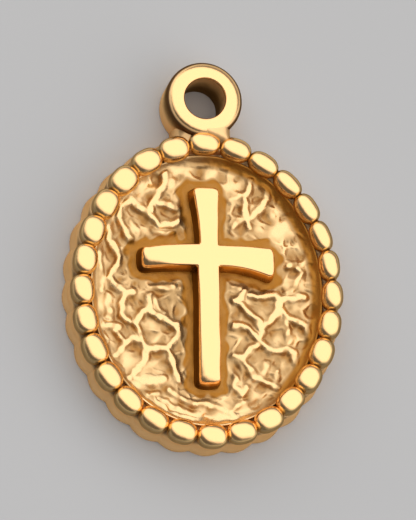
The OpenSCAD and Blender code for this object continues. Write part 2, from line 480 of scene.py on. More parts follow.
def carried_round(section, columns):
    """Grid points: each section point (across, height) carried round the oval, `across` measured
    straight outwards from it. A row for each section point, drawn together at both ends. Between
    two beads the outer points step back by the scallop, which leaves a round lobe below each."""
    count = np.arange(columns) / columns * BEAD_COUNT
    point, _, outwards = place_at(bead_share(count))
    dent = SCALLOP * valley(count)
    across = section[:, None, :1] - dent[None, :, None] * ramp(section[:, None, :1], 0, WALL_OUT)
    flat = point[None] + across * outwards[None]
    height = np.broadcast_to(section[:, None, 1:], flat.shape[:2] + (1,))
    rows = np.concatenate([flat, height], -1)
    first = rows[:1] * [0, 0, 1]
    last = rows[-1:] * [0, 0, 1]
    return np.concatenate([first, rows, last])


# Painted shade on the side wall above its lighter foot, under the beads and in the valleys
# between the lobes: the two heights between which each sets in, and how deep it is.
WALL_SHADE = (0, 0.25, 0.4)
UNDER_BEADS_SHADE = (0.9, 1.3, 0.35)
VALLEY_SHADE = (0, 0.15, 0.25)

body_grid = carried_round(BODY_SECTION, BODY_COLUMNS)
body_z = body_grid[..., 2]
valleys = valley(np.arange(BODY_COLUMNS) / BODY_COLUMNS * BEAD_COUNT)
body_recess = ramp(body_z, *WALL_SHADE) + ramp(body_z, *UNDER_BEADS_SHADE)
body_recess += valleys**2 * ramp(body_z, *VALLEY_SHADE)
body_faces = grid_faces(body_grid).tolist()
add_piece("medal_body", body_grid.reshape(-1, 3), body_faces, body_recess.ravel(), POLISHED)

# %% [markdown]
# ## The border beads
# A bead is like a small barrel lying along the border: strongly curved across the rim and
# flatter along it. Underneath it curls in again and sinks into the rim, above the scalloped side
# wall. A sphere would catch the light in a round spot, but the real beads show long ones. So each
# is a superellipsoid, whose plan and whose dome are both squarer than an ellipse.

# %% Grow the beads out of the border
BEAD_LONG = 1.05  # half length of a bead as a share of half the spacing
BARREL_POWER = 2.6  # of the plan: |along|^2.6 + |across|^2 = 1
DOME_POWER = 2.2  # of the section: |spread|^2.2 + |height|^2.2 = 1
DOME_ROWS = 14
SHOULDER_Z = 1.72
# The underside from the shoulder down: heights, and spreads as shares of the bead's half sizes.
UNDER_HEIGHTS = (1.64, 1.54, 1.44, 1.34, 1.25, 1.18, 1.18)
UNDER_SPREADS = (0.995, 0.97, 0.92, 0.84, 0.74, 0.6, 0)
BEAD_COLUMNS = 40
BEAD_SEED = 100
WIDTH_STRAYING = (0.98, 1.02)
TOP_STRAYING = (0, 0.03)  # how far a bead's top stays below the charm's
# The beads are cut by hand, so they stand and swell a little differently round the border.
# Columns: bead clockwise from the top, how far out of the oval its middle stands, half width.
BEAD_PLACES = np.array(
    [
        (0, 0.09, 0.53),
        (2, -0.02, 0.50),
        (5, -0.01, 0.47),
        (7, -0.01, 0.48),
        (9, -0.03, 0.54),
        (11, -0.04, 0.54),
        (13, 0.09, 0.55),
        (17, 0.15, 0.55),
        (19, 0.09, 0.55),
        (21, 0.02, 0.54),
        (23, -0.08, 0.56),
        (25, -0.09, 0.59),
        (27, -0.03, 0.58),
        (28, 0.09, 0.53),
    ]
)
round_bead = np.linspace(0, 2 * np.pi, BEAD_COLUMNS, endpoint=False)


def bead_grid(k):
    """Rows from the top of bead k down its dome and round its underside. At a turn t, a row of
    spread s lies |s cos t|^(2 / 2.6) along the border and s sin t across it, in half sizes."""
    draw = np.random.default_rng(BEAD_SEED + k)
    half_gap = (bead_share(k + 0.5) - bead_share(k - 0.5)) * oval_length / 2
    point, way_along, way_out = place_at(bead_share(k))
    half_long = BEAD_LONG * half_gap
    half_wide = np.interp(k, BEAD_PLACES[:, 0], BEAD_PLACES[:, 2]) * draw.uniform(*WIDTH_STRAYING)
    point = point + way_out * np.interp(k, BEAD_PLACES[:, 0], BEAD_PLACES[:, 1])
    lean = np.linspace(0, np.pi / 2, DOME_ROWS)
    spread = np.concatenate([np.sin(lean) ** (2 / DOME_POWER), UNDER_SPREADS])
    rise = top_z - SHOULDER_Z - draw.uniform(*TOP_STRAYING)
    height = np.concatenate([SHOULDER_Z + rise * np.cos(lean) ** (2 / DOME_POWER), UNDER_HEIGHTS])
    along = spread[:, None] * np.cos(round_bead)
    across = spread[:, None] * np.sin(round_bead)
    along = half_long * np.sign(along) * np.abs(along) ** (2 / BARREL_POWER)
    flat = point + along[..., None] * way_along + half_wide * across[..., None] * way_out
    return np.concatenate([flat, np.broadcast_to(height[:, None, None], flat.shape[:2] + (1,))], -1)


def joined(grids):
    """Several grids of the same size as one array of points and one list of faces."""
    points = np.concatenate([grid.reshape(-1, 3) for grid in grids])
    faces = grid_faces(grids[0])
    each = np.arange(len(grids))[:, None, None] * grids[0][..., 0].size
    return points, (faces[None] + each).reshape(-1, 4).tolist()


bead_points, bead_faces = joined([bead_grid(k) for k in range(BEAD_COUNT)])
print(f"{BEAD_COUNT} beads, up to {bead_points[:, 2].max():.2f} mm high")

# %% Paint shade on the beads between their bright tops
# The flanks, the gaps and the undersides are painted dark as shade. The inner sides of the
# lowest beads are painted lighter, as lit, and the outer sides of those on the right darker,
# as shaded.
FLANK_SHADE = 0.5
OUTER_SHADE = 0.35  # added on the outer flank
GAP_SHADE = (0.9, 0.5)  # between two beads: painted shade, less on the lit inner sides
LIT_INNER_Y = (-4.2, -5.7)  # the inner sides are painted more and more lit between these
# How far below a bead's top the painted shade sets in, and over what height: in general, and
# on the outer side of the beads at the far right.
BRIGHT_DEPTH = (0.08, 0.03)
BRIGHT_FADE = (0.2, 0.12)
UNDERSIDE_SHADE = (1.66, 1.51, 0.3)  # the heights between which it is added, and how much

bead_x, bead_y, bead_z = bead_points.T.reshape(3, -1, BEAD_COLUMNS)
between = ramp(np.abs(np.cos(round_bead)), 0.75, 1)  # 1 where the next bead is near
outer = ramp(np.sin(round_bead), -0.3, 0.5)  # 1 on the side away from the ground
lit_inner = ramp(bead_y, *LIT_INNER_Y) * (1 - outer)
shaded_outer = ramp(bead_x, 0, oval_a) * outer
flank = blend(FLANK_SHADE, 0, lit_inner) + OUTER_SHADE * outer
bead_recess = np.maximum(flank, blend(*GAP_SHADE, lit_inner) * between)
bright_depth, bright_fade = blend(*BRIGHT_DEPTH, shaded_outer), blend(*BRIGHT_FADE, shaded_outer)
bead_recess *= ramp(top_z - bead_z, bright_depth, bright_depth + bright_fade)
bead_recess += (1 - lit_inner) * ramp(bead_z, *UNDERSIDE_SHADE)
add_piece("border_beads", uneven(bead_points), bead_faces, bead_recess.ravel(), BEADED)

# %% [markdown]
# ## The cross
# The arms are cut by hand: each flares towards its tip, and no two are alike. An extruded outline
# with a bevel would have a flat top and the even edges of a stamped part. So the surface is
# carried from the outline inwards to a spine along the middle of each arm. That gives a slightly
# crowned top, and edges that can be hammered down where the real ones are.

# %% Chart the four arms
CROSSING = np.array([0.06, 1.45])
CROSS_Z = 1.98
CROSS_FOOT_Z = 0.95
CAP_DEPTH = 0.3  # how much further the middle of a tip reaches than its corners
CAP_POWER = 3.4  # of a tip's outline: |across|^3.4 + |along|^3.4 = 1
BEND_POINTS = 3  # of the curve between two arms
# Clockwise from the top, facing away from the crossing. Columns: length, half width at the root
# and at the tip on the left, the same on the right.
ARMS = [
    (3.17, 0.44, 0.66, 0.43, 0.52),
    (2.96, 0.52, 0.46, 0.48, 0.87),
    (5.80, 0.43, 0.38, 0.55, 0.60),
    (3.06, 0.48, 0.57, 0.56, 0.38),
]


def arm_line(k, side_count=14, cap_count=15, corner=0.09):
    """Outline and spine points of arm k as (across, along). Each side widens with the square of
    the way along it, and the tip is half a superellipse."""
    length, left_root, left_tip, right_root, right_tip = ARMS[k]
    left_start = ARMS[(k - 1) % 4][3] + corner
    right_start = ARMS[(k + 1) % 4][1] + corner
    straight = length - CAP_DEPTH
    share = np.linspace(0, 1, side_count)
    left_half = blend(left_root, left_tip, share**2)
    right_half = blend(right_root, right_tip, share**2)
    left = np.stack([-left_half, blend(left_start, straight, share)], -1)
    right = np.stack([right_half, blend(right_start, straight, share)], -1)[::-1]
    turn = np.linspace(-np.pi / 2, np.pi / 2, cap_count)[1:-1]
    middle, half = (right_tip - left_tip) / 2, (right_tip + left_tip) / 2
    cap_across = middle + half * np.sign(np.sin(turn)) * np.abs(np.sin(turn)) ** (2 / CAP_POWER)
    cap_along = straight + CAP_DEPTH * np.cos(turn) ** (2 / CAP_POWER)
    cap = np.stack([cap_across, cap_along], -1)
    outline = np.concatenate([left, cap, right])
    spine_end = length - half
    spine_share = np.concatenate([share, np.ones(len(cap)), share[::-1]])
    spine = np.stack([middle * spine_share, spine_end * spine_share], -1)
    return outline, spine


def turned(points, quarter):
    """(across, along) of an arm as (x, y), for an arm that many quarters clockwise from the top."""
    for _ in range(quarter):
        points = np.stack([points[:, 1], -points[:, 0]], -1)
    return points + CROSSING


def cross_lines():
    """The closed outline and the spine point of each of its points. A short curve joins each
    arm to the next one."""
    arms = [[turned(line, k) for line in arm_line(k)] for k in range(4)]
    outline, spine = [], []
    for k in range(4):
        (here, here_spine), (after, _) = arms[k], arms[(k + 1) % 4]
        inner = turned(np.array([[ARMS[k][3], ARMS[(k + 1) % 4][1]]]), k)[0]
        bend = curve_through(here[-1], inner, after[0], BEND_POINTS + 2)[1:-1]
        outline += [here, bend]
        spine += [here_spine, np.broadcast_to(CROSSING, bend.shape)]
    return np.concatenate(outline), np.concatenate(spine)


# %% Raise the cross
CROSS_EDGE = 0.15  # radius of its edges
CROSS_DRAFT = 0.15  # how far its sides lean
CROWN = 0.03  # how much higher a top is at its spine than at its edges
CROWN_ROWS = 10


def raised(outline, spine, section, top):
    """Grid of a raised shape: rows of the section (inset from the outline, height), then rows up
    to the spine on a low crown, closed underneath along the same spine."""
    way = spine - outline
    reach = np.linalg.norm(way, axis=1)[:, None]
    rows = [np.column_stack([spine, np.full(len(spine), section[0, 1])])]
    for inset, height in section:
        flat = outline + way * np.minimum(inset / reach, 1)
        rows.append(np.column_stack([flat, np.full(len(flat), height)]))
    for share in np.linspace(0, 1, CROWN_ROWS + 1)[1:]:
        start = np.minimum(section[-1, 0] / reach, 1)
        flat = outline + way * (start + (1 - start) * share)
        crown = CROWN * (1 - (1 - share) ** 2)
        rows.append(np.column_stack([flat, np.full(len(flat), top + crown)]))
    return np.array(rows)


def rounded_wall(foot_z, top, edge, draft, count=8):
    """Section of a wall (inset, height) that leans in by the draft and ends in a round edge."""
    lean = np.linspace(0, np.pi / 2, count)
    wall = np.array([(-draft, foot_z), (-draft / 2, (foot_z + top) / 2), (0, top - edge)])
    arc = np.stack([edge * (1 - np.cos(lean)), top - edge + edge * np.sin(lean)], -1)
    return np.concatenate([wall, arc[1:]])


cross_outline, cross_spine = cross_lines()
cross_section = rounded_wall(CROSS_FOOT_Z, CROSS_Z, CROSS_EDGE, CROSS_DRAFT)
cross_grid = raised(cross_outline, cross_spine, cross_section, CROSS_Z)
cross_points = cross_grid.reshape(-1, 3)
cross_x, cross_y, cross_z = cross_points.T
print(f"cross: {len(cross_outline)} outline points, {np.ptp(cross_x):.2f} x {np.ptp(cross_y):.2f} mm")

# %% Hammer down its edges
# The lower edge of the left arm and the left edge of the lower arm are rounded off by hand, more
# and more towards their tips. Columns: place along the arm, how far in from the edge it starts.
LEFT_ARM_ROUNDING = np.array([(-3.0, 0.7), (-2.6, 0.55), (-1.6, 0.15), (-1.1, 0)])
LOWER_ARM_ROUNDING = np.array([(-4.3, 0.5), (-3.5, 0.4), (-2.6, 0.2), (0, 0)])
LEFT_ARM_LOW_Y, LOWER_ARM_LEFT_X = 0.9, -0.5
LOWER_TIP_Y, LEFT_TIP_X = -4.35, -3.0
HAMMERED_Z = (1.2, 1.7)  # heights between which a side follows its edge down more and more


def hammered(from_edge, wide, steep):
    """How far the top is hammered down along an edge: nothing from `wide` inwards, and then like
    the square of the way beyond that, which ends `steep` steep at the edge."""
    share = np.clip((wide - from_edge) / np.maximum(wide, 0.01), 0, 1)
    return steep * wide / 2 * share**2


left_wide = np.interp(cross_x, *LEFT_ARM_ROUNDING.T)
low_wide = np.interp(cross_y, *LOWER_ARM_ROUNDING.T)
lowered = hammered(cross_y - LEFT_ARM_LOW_Y, left_wide, steep=0.85)
lowered += hammered(cross_x - LOWER_ARM_LEFT_X, low_wide, steep=0.55)
lowered += hammered(cross_y - LOWER_TIP_Y, wide=0.45, steep=0.6)
lowered += hammered(cross_x - LEFT_TIP_X, wide=0.3, steep=0.4)
hammered_z = cross_z - lowered * ramp(cross_z, *HAMMERED_Z)
print(f"hammered down by up to {lowered.max():.2f} mm")

# %% Paint shade on its sides
# The sides are painted dark as shade, but less so on the side arms, on the right of the
# upright and at its foot, which face the light or the bright beads. The hammered edges are
# painted a little darker too.
SIDE_DEPTHS = (0.06, 0.26)  # below the top, where the sides' painted shade sets in and is full
LIT_LOSS = 0.78  # the share of its painted shade that a fully lit side loses
LOWERED_SHADE = 0.5  # the painted shade of an edge for each millimetre that it's hammered down

lit_arms = ramp(np.abs(cross_x), 0.5, 0.65) * ramp(cross_x, -2.85, -2.55)
lit_foot = ramp(cross_y, -4.15, -4.3)
lit_right = ramp(cross_x, 0.3, 0.4, 0.6)
lit = np.maximum.reduce([lit_arms, lit_foot, lit_right])
cross_recess = ramp(CROSS_Z - cross_z, *SIDE_DEPTHS) * (1 - LIT_LOSS * lit) + LOWERED_SHADE * lowered
cross_points[:, 2] = hammered_z
add_piece("cross", uneven(cross_points), grid_faces(cross_grid).tolist(), cross_recess, SHADE_SIDED)

# %% [markdown]
# ## The hanging ring and its neck
# The ring is thick, with a flat buffed face and a rounded outer edge. A torus would be too round,
# so it is a section turned round the hole's axis. The neck is a low block with hollow flanks
# between the ring and the rim. It is raised from an outline to a spine, as the cross is.

# %% Turn the ring
RING_COLUMNS = 96
RING_EDGE = 0.32  # how wide the worn outer edge of the face is
RING_EDGE_DEPTH = 0.26
RING_BACK_IN = 0.06  # how much smaller the back is
BORE_START_Z = 0.6  # where the section starts and ends, on the wall of the hole

# Columns: radius, height, where the rounding of the corner starts.
ring_section = soft_section(
    [
        (hole_r, BORE_START_Z, 0),
        (hole_r, 0, 0.08),
        (ring_r - RING_BACK_IN, 0, 0.16),
        (ring_r, top_z - RING_EDGE_DEPTH, 0.12),
        (ring_r - RING_EDGE, top_z, 0.15),
        (hole_r, top_z, 0.13),
        (hole_r, BORE_START_Z, 0),
    ],
    count=9,
)[:-1]
ring_turn = np.linspace(0, 2 * np.pi, RING_COLUMNS, endpoint=False)
ring_grid = np.stack(
    [
        np.outer(ring_section[:, 0], np.sin(ring_turn)),
        ring_y + np.outer(ring_section[:, 0], np.cos(ring_turn)),
        np.outer(ring_section[:, 1], np.ones(RING_COLUMNS)),
    ],
    -1,
)
ring_grid = np.concatenate([ring_grid, ring_grid[:1]])

# %% Paint shade into the ring's hole and under its edge
# The hole is painted dark as shade. The outer side is painted dark only under its edge, and
# bright again below that.
IN_BORE = 0.03  # points this near the wall of the hole belong to it
EDGE_DEPTHS = (0.04, 0.2)  # below the face, where the painted shade sets in and is full
SIDE_BRIGHTENS = (1.85, 1.5, 0.6)  # heights between which the side loses painted shade, and how much

ring_points = ring_grid.reshape(-1, 3)
in_bore = np.hypot(ring_points[:, 0], ring_points[:, 1] - ring_y) < hole_r + IN_BORE
ring_recess = ramp(top_z - ring_points[:, 2], *EDGE_DEPTHS)
ring_recess -= np.where(in_bore, 0, ramp(ring_points[:, 2], *SIDE_BRIGHTENS))
add_piece("hanging_ring", ring_points, grid_faces(ring_grid).tolist(), ring_recess, RINGED)

# %% Shape the neck
NECK_LOW = oval_b - 0.35  # its lower end, inside the rim
NECK_HIGH = ring_y - hole_r - 0.12  # its upper end, inside the ring
NECK_WAIST = 1.25  # half width at the ring
NECK_ROOT = 1.55  # half width at the rim
SPINE_IN = 0.3  # how far inside the two ends its spine stops
NECK_TOP = (1.75, 2.12)  # height of the top at its lower left and towards the ring
NECK_SLOPE = (oval_b + 0.2, oval_b + 0.7)  # where the top rises from the one to the other
NECK_SLANT = 0.35  # how much lower the slope lies for each millimetre to the right
# Columns: height, and how much darker the neck is painted there.
NECK_DARKENING = np.array([(0.5, 0.4), (1.4, 0.5), (1.6, 0.8), (2.0, 0.8), (2.1, 0.7)])


def neck_lines(side_count=24, end_count=10):
    """Outline round the neck's two hollow flanks, and the spine on its middle line. The half
    width grows from the waist towards the rim like the cube of the way."""
    share = np.linspace(0, 1, side_count)
    half = blend(NECK_WAIST, NECK_ROOT, (1 - share) ** 3)
    y = blend(NECK_LOW, NECK_HIGH, share)
    left, right = np.stack([-half, y], -1), np.stack([half, y], -1)[::-1]
    across = np.linspace(-1, 1, end_count + 2)[1:-1]
    far = np.stack([NECK_WAIST * across, np.full(end_count, NECK_HIGH)], -1)
    near = np.stack([-NECK_ROOT * across, np.full(end_count, NECK_LOW)], -1)
    outline = np.concatenate([left, far, right, near])
    spine_y = np.clip(outline[:, 1], NECK_LOW + SPINE_IN, NECK_HIGH - SPINE_IN)
    return outline, np.stack([np.zeros(len(outline)), spine_y], -1)


# The neck is raised to a height of 1, and then stretched to the height of its sloping top.
neck_outline, neck_spine = neck_lines()
neck_section = rounded_wall(foot_z=0.01, top=1.0, edge=0.45, draft=0.0)
neck_grid = raised(neck_outline, neck_spine, neck_section, top=1.0)
neck_points = neck_grid.reshape(-1, 3)
neck_rise = ramp(neck_points[:, 1] + NECK_SLANT * neck_points[:, 0], *NECK_SLOPE)
neck_points[:, 2] *= blend(*NECK_TOP, neck_rise)
neck_recess = np.interp(neck_points[:, 2], *NECK_DARKENING.T)
add_piece("ring_neck", neck_points, grid_faces(neck_grid).tolist(), neck_recess, POLISHED)

# %% [markdown]
# ## The crackled ground
# Between the cross and the border the real ground is crackled: sharp little veins round shallow
# pits, as when a thick paste dries. A noise texture gives cells of even size, but the real
# veins branch and stop. So the main ones are charted, and random cells fill the rest.
# The ground is one height over each point: floor, veins, mounds and dips, a smooth hollow round
# the cross and a hollow along the rim.

# %% Chart the veins
# Columns of a vein: how bold it is, then its points in millimetres.
VEINS = [
    (1, [(-3.34, 4.14), (-2.99, 3.79), (-2.56, 3.53), (-2.3, 3.27), (-2.03, 3.03), (-1.47, 2.99),
        (-1.21, 3.18)]),
    (1, [(-2.47, 3.7), (-2.38, 3.88), (-2.21, 4.18), (-2.03, 4.49), (-1.86, 4.75), (-1.73, 5.1),
        (-1.77, 5.31)]),
    (0.9, [(-2.12, 4.03), (-1.82, 3.97), (-1.51, 3.88), (-1.25, 3.79)]),
    (1, [(-3.34, 4.14), (-3.73, 3.79), (-3.9, 3.27), (-3.69, 2.92), (-3.51, 2.49), (-3.38, 2.27)]),
    (1, [(-4.34, 2.79), (-4.34, 2.27), (-4.17, 2), (-3.99, 1.7), (-3.9, 1.44), (-3.99, 1.14),
        (-4.25, 0.79)]),
    (1, [(-4.25, 0.79), (-4.38, 0.53), (-4.21, 0.27), (-4.03, 0.1), (-3.73, -0.08)]),
    (0.8, [(-4.82, 1.62), (-4.73, 0.7), (-4.69, 0.31), (-4.77, -0.03)]),
    (1, [(2.13, 5.14), (2.18, 4.92), (2.05, 4.66), (1.87, 4.4), (1.92, 4.05), (1.87, 3.7),
        (1.96, 3.36), (2.05, 3.01)]),
    (1, [(2.13, 3.4), (2.4, 3.7), (2.7, 4.01), (2.87, 4.36), (2.92, 4.66), (2.79, 4.88)]),
    (0.8, [(1.96, 3.4), (1.57, 3.27), (1.31, 3.01)]),
    (0.7, [(1.27, 4.23), (1.57, 4.4), (1.87, 4.45)]),
    (0.8, [(3.79, 1.27), (4.13, 1.31), (4.4, 0.97), (4.22, 0.62), (4.05, 0.27), (3.7, -0.03)]),
    (0.6, [(4.4, 1.27), (4.66, 1.57), (4.83, 1.79)]),
    (0.6, [(1.22, 0.27), (1.74, 0.14)]),
    (0.5, [(3.31, 4.79), (3.48, 4.62)]),
    (0.5, [(4.31, 3.53), (4.4, 3.62)]),
    (1, [(-3.34, -0.1), (-3.69, -0.23), (-3.82, -0.67), (-3.82, -1.06), (-3.69, -1.37),
        (-3.5, -1.45)]),
    (1, [(-2.6, -0.23), (-2.6, -0.67), (-2.64, -0.89), (-2.9, -1.06), (-3.12, -1.32), (-3.21, -1.54)]),
    (1, [(-3.21, -1.54), (-3.08, -1.89), (-2.95, -2.32), (-2.73, -2.67)]),
    (1, [(-2.64, -0.89), (-2.34, -1.1), (-2.03, -1.28), (-1.73, -1.45), (-1.43, -1.58), (-1.3, -1.8)]),
    (0.9, [(-1.3, -1.8), (-1.34, -2.15), (-1.6, -2.41), (-1.82, -2.63)]),
    (1, [(-1.82, -2.63), (-2.2, -2.67), (-2.73, -2.67)]),
    (1, [(-2.73, -2.67), (-2.82, -3.02), (-2.95, -3.37), (-3.17, -3.63), (-3.38, -3.84),
        (-3.56, -4.02)]),
    (1, [(-1.82, -2.63), (-1.69, -3.02), (-1.56, -3.41), (-1.47, -3.8), (-1.34, -4.06)]),
    (0.9, [(-3.73, -2.45), (-3.43, -2.23), (-3, -2.32)]),
    (0.9, [(-3.73, -2.45), (-3.95, -2.8), (-4.12, -3.06)]),
    (0.9, [(-4.12, -1.9), (-3.9, -2.2), (-3.73, -2.45)]),
    (1, [(2, -0.15), (2.3, -0.19), (3.13, -0.06), (3.35, -0.35)]),
    (1, [(3.35, -0.35), (3.48, -0.32), (3.83, -0.28), (4.22, -0.15), (4.5, -0.19)]),
    (1, [(3.35, -0.35), (3.31, -0.67), (3.57, -0.93), (3.74, -1.15), (4.18, -1.32), (4.53, -1.5),
        (4.61, -1.97)]),
    (1, [(3.31, -0.76), (3.09, -1.06), (2.83, -1.32), (2.57, -1.54)]),
    (1, [(1.27, -0.41), (1.53, -0.54), (1.79, -0.8), (2.05, -1.06), (2.27, -1.23), (2.48, -1.5),
        (2.48, -1.89)]),
    (1, [(2.48, -1.89), (2.4, -2.15)]),
    (1, [(1.18, -1.54), (1.57, -1.54), (1.92, -1.71), (2.18, -1.97), (2.4, -2.19), (2.61, -2.45),
        (2.92, -2.67)]),
    (0.9, [(2.92, -2.67), (3.22, -2.63), (3.61, -2.58), (3.96, -2.76), (3.96, -3.23)]),
    (0.9, [(1.18, -2.93), (1.57, -2.97), (1.87, -2.71), (2.13, -2.5), (2.4, -2.25)]),
    (0.9, [(1.57, -2.97), (1.74, -3.28), (1.96, -3.63), (2.13, -3.89), (2.53, -4.02), (2.92, -4.23),
        (3.13, -4.32)]),
    (0.7, [(2.66, -3.19), (2.57, -3.54), (2.48, -3.89)]),
    (0.6, [(3.09, -3.63), (3.13, -3.97)]),
    (0.8, [(1.22, -3.9), (1.18, -4.32), (1.53, -4.62), (1.7, -4.4)]),
    (0.7, [(1.18, -5.3), (1.44, -5.06), (1.66, -5)]),
    (0.7, [(3.55, -0.95), (3.66, -1.5), (3.72, -2.3)]),
    (0.8, [(-1.8, -4.55), (-1.45, -4.78), (-1.05, -5.02), (-0.55, -5.15), (-0.1, -5.1),
        (0.35, -5.3), (1, -5.5)]),
    (0.8, [(-2.56, -4.8), (-2.17, -5.19), (-1.86, -5.63), (-0.69, -5.84)]),
    (0.7, [(-2.3, 2.7), (-1.9, 2.6), (-1.5, 2.62)]),
    (0.5, [(3.31, 4.79), (3.75, 4.3), (4.15, 3.85), (4.4, 3.5)]),
    (0.8, [(-4.45, -0.25), (-4.45, -0.8), (-4.4, -1.3)]),
    (0.7, [(-2.3, -0.45), (-2.2, -0.8), (-1.95, -1.1)]),
    (0.9, [(-4.7, -1.6), (-4.35, -1.7), (-4, -1.72)]),
    (0.7, [(-2.45, 0.12), (-1.95, 0.15), (-1.45, 0.1)]),
    (1, [(1.75, 0.05), (1.55, -0.25), (1.3, -0.45)]),
    (0.9, [(-3.2, -4.05), (-2.75, -4.18), (-2.25, -4.15), (-2, -4)]),
    (0.8, [(-2.15, -4.95), (-1.7, -5.25), (-1.2, -5.45), (-0.7, -5.6)]),
    (0.8, [(-2.75, -4.75), (-2.3, -4.75)]),
    (0.4, [(4.45, 1.2), (4.5, 0.8), (4.35, 0.4)]),
    (0.5, [(4.7, 0.3), (4.9, 0.9)]),
    (0.6, [(-3.3, 3.1), (-3.1, 2.7)]),
]
# Smooth mounds between the veins, which catch the light: x, y, radius.
MOUNDS = [
    (3.6, 2.95, 0.45), (-3.12, 2.7, 0.25), (-3.73, 0.23, 0.25), (-2.9, 4.27, 0.3),
    (-2.38, 4.7, 0.25), (-2.82, 4.88, 0.25), (-0.77, 5.53, 0.25), (-0.73, 5.18, 0.25),
    (0.42, 5.35, 0.32), (-1.34, 5.1, 0.25), (-1.43, 4.79, 0.25), (1.27, 4.23, 0.2),
    (1.44, 4.57, 0.2), (1.35, 5.31, 0.2), (1.83, 5.44, 0.2), (0.57, 5.7, 0.2), (2.57, 2.97, 0.25),
    (3.18, 3.62, 0.25), (3.57, 0.36, 0.2), (3.2, 0, 0.2), (4.4, 0.31, 0.2), (-2.64, -3.97, 0.35),
    (-2.21, -4.1, 0.3), (-2.9, -4.06, 0.3), (-3.21, -4.41, 0.25), (-4.12, -1.76, 0.25),
    (-4.6, -1.67, 0.2), (-3.56, -3.15, 0.3), (-4.34, -0.5, 0.25), (-4.8, -0.9, 0.25),
    (-2.86, -5.15, 0.25), (3.05, -2.28, 0.3), (2.18, -4.7, 0.3), (1.57, -5.32, 0.25),
    (0.87, -5.19, 0.25), (0.27, -5.84, 0.3), (4.05, -0.7, 0.2), (-3.45, -0.8, 0.15),
    (3.3, -0.4, 0.25), (3.35, -0.9, 0.2), (2.4, -1.5, 0.25), (-2.8, -2.65, 0.25),
    (-2.6, -0.9, 0.25), (-2.25, 4.25, 0.2), (1.5, -3, 0.2), (1.55, -4.55, 0.2), (3.95, -2.75, 0.2),
    (3.2, 2.75, 0.35), (3.85, 3.2, 0.3), (-0.45, -5.55, 0.25), (0.6, -5.7, 0.25),
    (-1.55, -5.75, 0.25), (1.15, -5.65, 0.2),
]
# Pits that are deeper than the rest: x, y, radius.
DIPS = [
    (-0.18, 5.4, 0.2), (-2, 5.1, 0.2), (-1.03, 5.18, 0.15), (-2.56, 4.18, 0.2), (-2, 3.7, 0.22),
    (-1.4, 3.5, 0.22), (-3.17, 3.5, 0.22), (-2.86, 3.1, 0.22), (-2.5, 2.75, 0.2), (-1.6, 2.75, 0.2),
    (-3.82, 2.49, 0.2), (-3.95, 3, 0.15), (-4.43, 1.8, 0.2), (-4.2, 1.3, 0.2), (-3.73, 1.05, 0.2),
    (-3.95, 0.36, 0.15), (-3.25, 0.23, 0.15), (-3.6, 0.62, 0.2), (-4.34, -0.08, 0.2),
    (1.57, 3.8, 0.22), (1.8, 4.75, 0.2), (2.48, 4.6, 0.2), (2.4, 4.25, 0.2), (2.92, 3.14, 0.2),
    (2.7, 3.49, 0.2), (3.53, 3.53, 0.2), (1.61, 2.92, 0.2), (1.57, 5.23, 0.15), (4.44, 1.62, 0.2),
    (4, 2.36, 0.2), (4.05, 1, 0.2), (3.7, 1, 0.2), (3.44, 0.1, 0.15), (1.6, 2.55, 0.2),
    (-1.1, 2.45, 0.2), (-2.12, -0.25, 0.25), (-1.69, -0.6, 0.25), (-1.5, -1, 0.2),
    (-2.56, -1.3, 0.22), (-2.2, -1.5, 0.22), (-1.7, -1.9, 0.22), (-2.99, -0.67, 0.22),
    (-3.2, -1, 0.2), (-3.38, -0.5, 0.22), (-4.08, -0.58, 0.15), (-4.03, -1.3, 0.2),
    (-3.86, -1.6, 0.2), (-3.4, -1.8, 0.2), (-4.25, -2.1, 0.2), (-4.08, -2.45, 0.2),
    (-3.34, -2.65, 0.22), (-3.1, -2.9, 0.22), (-2.4, -3, 0.25), (-2.1, -3.3, 0.22),
    (-1.85, -3.75, 0.2), (-2.64, -4.58, 0.2), (-2.12, -4.54, 0.2), (-1.34, -5.23, 0.2),
    (-0.82, -5.45, 0.2), (-0.08, -5.63, 0.2), (2.1, -0.5, 0.22), (2.6, -0.6, 0.25),
    (2.9, -0.4, 0.2), (1.4, -0.9, 0.22), (1.75, -1.2, 0.22), (2.05, -1.5, 0.2), (1.6, -1.95, 0.22),
    (1.9, -2.25, 0.2), (3.2, -1.4, 0.2), (2.95, -1.7, 0.25), (2.8, -2.15, 0.2), (3.9, -1.6, 0.22),
    (4.25, -1.75, 0.2), (3.75, -0.75, 0.15), (4.6, -0.9, 0.2), (2.3, -2.63, 0.2), (2.4, -3, 0.22),
    (1.95, -3.1, 0.2), (3.2, -3.05, 0.25), (3.57, -3.1, 0.2), (3.5, -3.6, 0.25), (1.25, -3.45, 0.2),
    (1.65, -3.8, 0.22), (2.22, -4.32, 0.2), (2.61, -4.37, 0.2), (1.12, -4.8, 0.2),
    (1.66, -4.85, 0.15), (2.18, -5.05, 0.2),
]

# %% Distances over the whole ground
GROUND_COLUMNS, GROUND_ROWS = 270, 320
GROUND_INSET = 0.4  # how far inside the oval the ground ends, hidden in the rim
MOAT_SHIFT = np.array([-0.05, 0.03])  # the hollow isn't quite centred on the cross


def disc_grid(columns, rows):
    """A square grid pressed into the oval: x = u sqrt(1 - v^2 / 2), y = v sqrt(1 - u^2 / 2)."""
    u, v = np.meshgrid(np.linspace(-1, 1, columns), np.linspace(-1, 1, rows))
    x = (oval_a - GROUND_INSET) * u * np.sqrt(1 - v * v / 2)
    y = (oval_b - GROUND_INSET) * v * np.sqrt(1 - u * u / 2)
    return x, y


def line_distance(x, y, points):
    """Distance from each place to the nearest point of a line of straight stretches."""
    nearest = np.full_like(x, np.inf)
    for (ax, ay), (bx, by) in zip(points[:-1], points[1:]):
        way_x, way_y = bx - ax, by - ay
        share = np.clip(((x - ax) * way_x + (y - ay) * way_y) / (way_x**2 + way_y**2), 0, 1)
        nearest = np.minimum(nearest, np.hypot(x - ax - share * way_x, y - ay - share * way_y))
    return nearest


